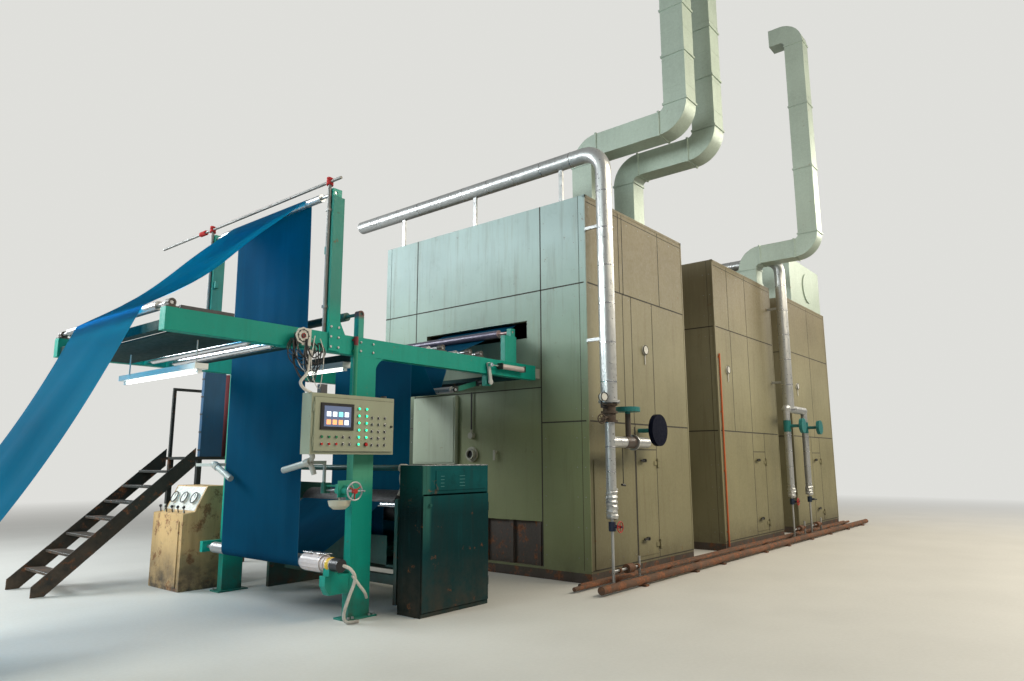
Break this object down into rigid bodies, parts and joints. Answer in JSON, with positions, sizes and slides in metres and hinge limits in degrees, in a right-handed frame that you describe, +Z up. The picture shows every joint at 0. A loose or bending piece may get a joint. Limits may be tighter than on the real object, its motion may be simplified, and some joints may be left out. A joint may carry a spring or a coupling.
{
  "type": "continuous textile drying range",
  "caption": "Cloth-feed gantry with guide rollers, dancer, squeezing mangle and control box, leading cloth into a row of steam-heated hot-air drying chambers.",
  "frame": {"origin": "on the floor at the middle of the first chamber's footprint, on the underside of its middle base cross member", "axes": "+X down the line with the cloth, +Y to the far side of the line, +Z up"},
  "size_m": [17.4617, 6.495, 10.3095],
  "materials": {
    "base_steel": "matt, rusty",
    "chamber_front": "satin, streaked",
    "chamber_side": "satin, streaked",
    "green_paint": "satin, worn",
    "dark_green": "satin",
    "roller_steel": "satin",
    "bright_steel": "polished",
    "rubber_roll": "matt",
    "cloth": "matt weave",
    "box_paint": "satin",
    "black_parts": "matt",
    "red_plastic": "gloss",
    "white_paint": "satin",
    "grey_motor": "satin",
    "cabinet_teal": "satin, worn",
    "console_cream": "satin, rusty",
    "dial_white": "gloss",
    "stair_steel": "matt",
    "silver_lagging": "crumpled foil",
    "valve_teal": "painted",
    "wheel_red": "satin",
    "rusty_pipe": "rust",
    "galvanised": "spangled",
    "lamp_white": "gloss",
    "conduit_grey": "matt",
    "hose_orange": "satin",
    "coil_metal": "dull"
  },
  "bodies": {
    "range": {"chamber_bases": "base_steel", "chamber_1_walls": "chamber_front", "chamber_2_walls": "chamber_side", "chamber_3_walls": "chamber_side", "front_hatch": "chamber_front", "inner_rollers": "roller_steel", "heater_coils": "coil_metal", "chamber_fans": "grey_motor", "gantry_posts": "green_paint", "gantry_beams": "green_paint", "gantry_ties": "dark_green", "top_uprights": "green_paint", "upper_bar": "galvanised", "bearing_blocks": "green_paint", "lamps": "lamp_white", "cloth_web": "cloth", "dancer_cylinder": "galvanised", "control_case": "box_paint", "guider_frame": "green_paint", "guide_arms": "white_paint", "drive_motor": "grey_motor", "mangle_frame": "dark_green", "mangle_cabinet": "cabinet_teal", "console_body": "console_cream", "gauges": "dial_white", "stairs": "stair_steel", "platform": "stair_steel", "steam_pipes": "silver_lagging", "pipe_valves": "valve_teal", "drain_pipes": "rusty_pipe", "exhaust_ducts": "galvanised", "conduits": "conduit_grey", "red_hose": "hose_orange"},
    "chamber_1_door": {"chamber_1_door": "chamber_side"},
    "chamber_2_door": {"chamber_2_door": "chamber_side"},
    "chamber_3_door": {"chamber_3_door": "chamber_side"},
    "entry_roller": {"entry_roller": "roller_steel"},
    "top_roller": {"top_roller": "roller_steel"},
    "draw_roller_1": {"draw_roller_1": "bright_steel"},
    "draw_roller_2": {"draw_roller_2": "bright_steel"},
    "post_roller": {"post_roller": "dark_green"},
    "guide_roller_1": {"guide_roller_1": "roller_steel"},
    "guide_roller_2": {"guide_roller_2": "roller_steel"},
    "guide_roller_3": {"guide_roller_3": "roller_steel"},
    "slot_roller": {"slot_roller": "roller_steel"},
    "bottom_roller": {"bottom_roller": "roller_steel"},
    "dancer": {"dancer_arms": "black_parts"},
    "dancer_roller": {"dancer_roller": "roller_steel"},
    "dancer_rod": {"dancer_rod": "bright_steel"},
    "control_door": {"control_door": "box_paint", "control_fittings": "black_parts"},
    "stop_button": {"stop_button": "red_plastic"},
    "guider_wheel": {"guider_wheel": "roller_steel"},
    "mangle_roll_1": {"mangle_roll_1": "rubber_roll"},
    "mangle_roll_2": {"mangle_roll_2": "rubber_roll"},
    "mangle_guide_roller": {"mangle_guide_roller": "bright_steel"},
    "mangle_door": {"mangle_door": "cabinet_teal"},
    "console_door": {"console_door": "console_cream"},
    "valve_wheel_1": {"valve_wheel_1": "wheel_red"},
    "valve_wheel_2": {"valve_wheel_2": "wheel_red"}
  },
  "joints": [
    {"name": "chamber_1_door_hinge", "type": "hinge", "parent": "range", "child": "chamber_1_door", "pos_m": [0.342, -1.996, 0.9], "axis": [0, 0, 1], "range_deg": [0, 100]},
    {"name": "chamber_2_door_hinge", "type": "hinge", "parent": "range", "child": "chamber_2_door", "pos_m": [4.664, -1.996, 0.9], "axis": [0, 0, 1], "range_deg": [0, 100]},
    {"name": "chamber_3_door_hinge", "type": "hinge", "parent": "range", "child": "chamber_3_door", "pos_m": [8.127, -1.996, 0.9], "axis": [0, 0, 1], "range_deg": [0, 100]},
    {"name": "entry_roller_spin", "type": "hinge", "parent": "range", "child": "entry_roller", "pos_m": [-6.37, 0, 2.785], "axis": [0, 1, 0], "continuous": true},
    {"name": "top_roller_spin", "type": "hinge", "parent": "range", "child": "top_roller", "pos_m": [-4.815, 0, 4.19], "axis": [0, 1, 0], "continuous": true},
    {"name": "draw_roller_1_spin", "type": "hinge", "parent": "range", "child": "draw_roller_1", "pos_m": [-5.53, 0, 2.59], "axis": [0, 1, 0], "continuous": true},
    {"name": "draw_roller_2_spin", "type": "hinge", "parent": "range", "child": "draw_roller_2", "pos_m": [-5.29, 0, 2.59], "axis": [0, 1, 0], "continuous": true},
    {"name": "post_roller_spin", "type": "hinge", "parent": "range", "child": "post_roller", "pos_m": [-4.445, 0, 2.99], "axis": [0, 1, 0], "continuous": true},
    {"name": "guide_roller_1_spin", "type": "hinge", "parent": "range", "child": "guide_roller_1", "pos_m": [-3.2575, 0, 2.785], "axis": [0, 1, 0], "continuous": true},
    {"name": "guide_roller_2_spin", "type": "hinge", "parent": "range", "child": "guide_roller_2", "pos_m": [-2.8, 0, 2.785], "axis": [0, 1, 0], "continuous": true},
    {"name": "guide_roller_3_spin", "type": "hinge", "parent": "range", "child": "guide_roller_3", "pos_m": [-2.6, 0, 2.785], "axis": [0, 1, 0], "continuous": true},
    {"name": "slot_roller_spin", "type": "hinge", "parent": "range", "child": "slot_roller", "pos_m": [-1.99, 0, 3.14], "axis": [0, 1, 0], "continuous": true},
    {"name": "bottom_roller_spin", "type": "hinge", "parent": "range", "child": "bottom_roller", "pos_m": [-4.68, 0, 0.53], "axis": [0, 1, 0], "continuous": true},
    {"name": "mangle_guide_roller_spin", "type": "hinge", "parent": "range", "child": "mangle_guide_roller", "pos_m": [-3.7, 0, 1.02], "axis": [0, 1, 0], "continuous": true},
    {"name": "mangle_roll_1_spin", "type": "hinge", "parent": "range", "child": "mangle_roll_1", "pos_m": [-3.4725, 0, 1], "axis": [0, 1, 0], "continuous": true},
    {"name": "mangle_roll_2_spin", "type": "hinge", "parent": "range", "child": "mangle_roll_2", "pos_m": [-3.1275, 0, 1], "axis": [0, 1, 0], "continuous": true},
    {"name": "dancer_swing", "type": "hinge", "parent": "range", "child": "dancer", "pos_m": [-2.465, 0, 2.45], "axis": [0, 1, 0], "range_deg": [0, 12]},
    {"name": "dancer_roller_spin", "type": "hinge", "parent": "dancer", "child": "dancer_roller", "pos_m": [-2.865, 0, 2.338], "axis": [0, 1, 0], "continuous": true},
    {"name": "dancer_rod_slide", "type": "slide", "parent": "range", "child": "dancer_rod", "axis": [1, 0, 0], "range_m": [0, 0.0434]},
    {"name": "control_door_hinge", "type": "hinge", "parent": "range", "child": "control_door", "pos_m": [-5.088, -1.3884, 1.84], "axis": [0, 0, -1], "range_deg": [0, 110]},
    {"name": "stop_button_push", "type": "slide", "parent": "control_door", "child": "stop_button", "axis": [0, 1, 0], "range_m": [0, 0.004], "stiffness_N_per_m": 300},
    {"name": "guider_wheel_spin", "type": "hinge", "parent": "range", "child": "guider_wheel", "pos_m": [-4.595, -1.396, 1.212], "axis": [0, 1, 0], "continuous": true},
    {"name": "mangle_door_hinge", "type": "hinge", "parent": "range", "child": "mangle_door", "pos_m": [-3.048, -1.731, 0.7], "axis": [0, 0, 1], "range_deg": [0, 100]},
    {"name": "console_door_hinge", "type": "hinge", "parent": "range", "child": "console_door", "pos_m": [-4.845, 2.171, 0.42], "axis": [0, 0, -1], "range_deg": [0, 100]},
    {"name": "valve_wheel_1_turn", "type": "hinge", "parent": "range", "child": "valve_wheel_1", "pos_m": [-1.4, -2.391, 0.705], "axis": [0, 1, 0], "range_deg": [0, 720]},
    {"name": "valve_wheel_2_turn", "type": "hinge", "parent": "range", "child": "valve_wheel_2", "pos_m": [5.125, -2.391, 0.705], "axis": [0, 1, 0], "range_deg": [0, 720]}
  ],
  "couplings": [
    {"joint": "mangle_roll_2_spin", "follows": "mangle_roll_1_spin", "ratio": -1},
    {"joint": "dancer_rod_slide", "follows": "dancer_swing", "m_per_rad": 0.20674}
  ]
}
